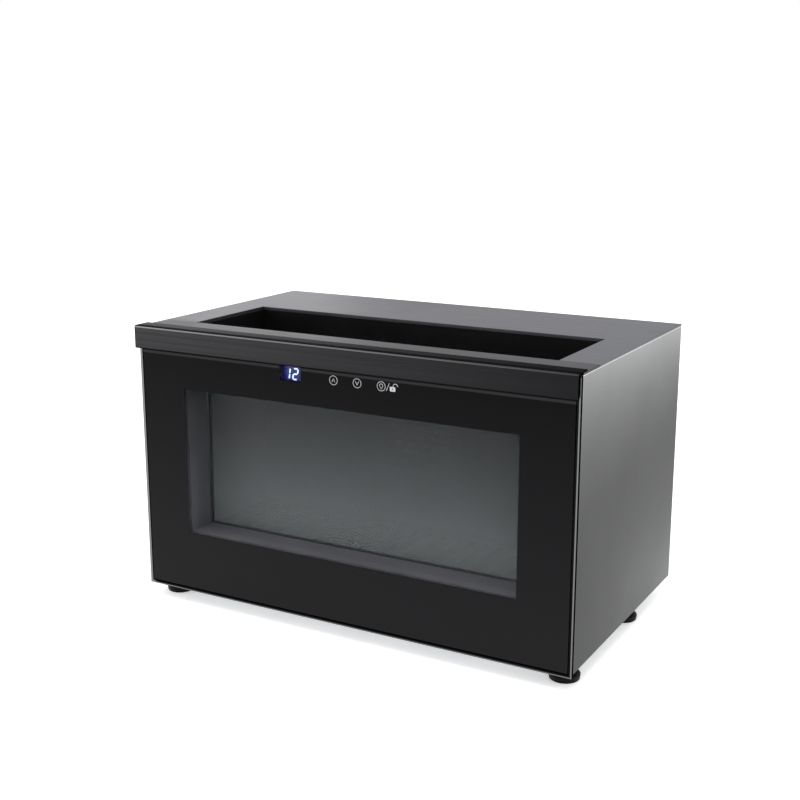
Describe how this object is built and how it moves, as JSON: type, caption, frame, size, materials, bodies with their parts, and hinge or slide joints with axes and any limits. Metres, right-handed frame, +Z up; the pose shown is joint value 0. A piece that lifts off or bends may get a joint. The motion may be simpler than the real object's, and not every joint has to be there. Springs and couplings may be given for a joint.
{
  "type": "wine cooler",
  "caption": "Counter-top thermoelectric wine cooler: an insulated bay open at the top holds standing bottles behind a fixed double-glazed front with touch keys.",
  "frame": {"origin": "on the floor under the middle of the whole cooler, feet screwed in", "axes": "+X to the right seen from the front, along the width; +Y to the back; +Z up; the glass front faces -Y"},
  "size_m": [0.38, 0.2278, 0.2322],
  "materials": {
    "brushed_casing": "vertical brushed stainless steel, satin",
    "dark_top": "dark satin steel with a fine grain",
    "dark_strip": "dark brushed steel, horizontal grain",
    "bright_trim": "bright brushed edge trim",
    "printed_glass": "tempered glass, printed black round a clear window",
    "tinted_glass": "grey tinted inner pane",
    "black_rubber": "matt black seal",
    "black_plastic": "fine textured black plastic",
    "reveal_plastic": "dark grey moulded sleeve",
    "liner_plastic": "black vacuum-formed liner",
    "rest_plastic": "black moulded slotted rest",
    "painted_sheet": "black powder-coated steel sheet",
    "galvanised_sheet": "zinc-coated steel sheet",
    "foam": "rigid insulating foam",
    "sink_aluminium": "extruded finned aluminium",
    "ceramic": "white ceramic faces",
    "zinc_steel": "zinc-plated steel",
    "fan_plastic": "black fan plastic",
    "circuit_board": "green circuit board with components",
    "display_plastic": "blue digit display",
    "pad_rubber": "conductive touch springs",
    "inlet_plastic": "black socket plastic",
    "nickel_pins": "nickel-plated pins",
    "rocker_plastic": "black rocker",
    "lamp_board": "white lamp board",
    "lamp_diffuser": "frosted lamp cover",
    "sensor_plastic": "sensor cap",
    "lead_sheath": "black flexible sheath",
    "foot_rubber": "black rubber foot",
    "stud_steel": "blackened threaded steel"
  },
  "bodies": {
    "root": {"base_plate": "galvanised_sheet", "base_screws": "zinc_steel", "bottle_rest": "rest_plastic", "clamp_screws": "zinc_steel", "cold_block": "sink_aluminium", "cold_sink": "sink_aluminium", "display_board": "circuit_board", "display_lead": "lead_sheath", "display_module": "display_plastic", "duct_cover": "liner_plastic", "fan_lead": "lead_sheath", "foam_floor": "foam", "foam_front": "foam", "foam_rear": "foam", "foam_sides": "foam", "front_carrier": "black_plastic", "front_glass": "printed_glass", "front_seal": "black_rubber", "front_trim": "bright_trim", "hot_sink": "sink_aluminium", "inlet_pins": "nickel_pins", "inner_fan_frame": "black_plastic", "inner_pane": "tinted_glass", "lamp_board": "lamp_board", "lamp_cover": "lamp_diffuser", "liner": "liner_plastic", "mains_lead": "lead_sheath", "outer_fan_frame": "black_plastic", "pane_gasket": "black_rubber", "power_inlet": "inlet_plastic", "rear_panel": "painted_sheet", "rear_screws": "zinc_steel", "side_panel_left": "brushed_casing", "side_panel_right": "brushed_casing", "supply_board": "circuit_board", "supply_case": "black_plastic", "switch_case": "inlet_plastic", "temperature_sensor": "sensor_plastic", "thermoelectric_module": "ceramic", "top_panel": "dark_top", "top_strip": "dark_strip", "touch_pads": "pad_rubber", "weld_nuts": "zinc_steel", "window_reveal": "reveal_plastic"},
    "inner_fan": {"inner_fan_rotor": "fan_plastic"},
    "outer_fan": {"outer_fan_rotor": "fan_plastic"},
    "rocker": {"switch_rocker": "rocker_plastic"},
    "foot_front_left": {"foot_pad_front_left": "foot_rubber"},
    "stud_front_left": {"foot_stud_front_left": "stud_steel"},
    "foot_front_right": {"foot_pad_front_right": "foot_rubber"},
    "stud_front_right": {"foot_stud_front_right": "stud_steel"},
    "foot_rear_left": {"foot_pad_rear_left": "foot_rubber"},
    "stud_rear_left": {"foot_stud_rear_left": "stud_steel"},
    "foot_rear_right": {"foot_pad_rear_right": "foot_rubber"},
    "stud_rear_right": {"foot_stud_rear_right": "stud_steel"}
  },
  "joints": [
    {"name": "inner_fan_spin", "type": "hinge", "parent": "root", "child": "inner_fan", "pos_m": [0, 0.0199, 0.13975], "axis": [0, 1, 0], "continuous": true},
    {"name": "outer_fan_spin", "type": "hinge", "parent": "root", "child": "outer_fan", "pos_m": [0, 0.0849, 0.13975], "axis": [0, 1, 0], "continuous": true},
    {"name": "power_switch", "type": "hinge", "parent": "root", "child": "rocker", "pos_m": [0.138, 0.1077, 0.0973], "axis": [-1, 0, 0], "range_deg": [0, 20]},
    {"name": "foot_front_left_height", "type": "slide", "parent": "root", "child": "foot_front_left", "axis": [0, 0, -1], "range_m": [0, 0.008]},
    {"name": "stud_front_left_turn", "type": "hinge", "parent": "foot_front_left", "child": "stud_front_left", "pos_m": [-0.176, -0.0859, 0.0062], "axis": [0, 0, -1], "range_deg": [0, 2304]},
    {"name": "foot_front_right_height", "type": "slide", "parent": "root", "child": "foot_front_right", "axis": [0, 0, -1], "range_m": [0, 0.008]},
    {"name": "stud_front_right_turn", "type": "hinge", "parent": "foot_front_right", "child": "stud_front_right", "pos_m": [0.176, -0.0859, 0.0062], "axis": [0, 0, -1], "range_deg": [0, 2304]},
    {"name": "foot_rear_left_height", "type": "slide", "parent": "root", "child": "foot_rear_left", "axis": [0, 0, -1], "range_m": [0, 0.008]},
    {"name": "stud_rear_left_turn", "type": "hinge", "parent": "foot_rear_left", "child": "stud_rear_left", "pos_m": [-0.176, 0.0379, 0.0062], "axis": [0, 0, -1], "range_deg": [0, 2304]},
    {"name": "foot_rear_right_height", "type": "slide", "parent": "root", "child": "foot_rear_right", "axis": [0, 0, -1], "range_m": [0, 0.008]},
    {"name": "stud_rear_right_turn", "type": "hinge", "parent": "foot_rear_right", "child": "stud_rear_right", "pos_m": [0.176, 0.0379, 0.0062], "axis": [0, 0, -1], "range_deg": [0, 2304]}
  ],
  "couplings": [
    {"joint": "stud_front_left_turn", "follows": "foot_front_left_height", "rad_per_m": 5026.5},
    {"joint": "stud_front_right_turn", "follows": "foot_front_right_height", "rad_per_m": 5026.5},
    {"joint": "stud_rear_left_turn", "follows": "foot_rear_left_height", "rad_per_m": 5026.5},
    {"joint": "stud_rear_right_turn", "follows": "foot_rear_right_height", "rad_per_m": 5026.5}
  ]
}
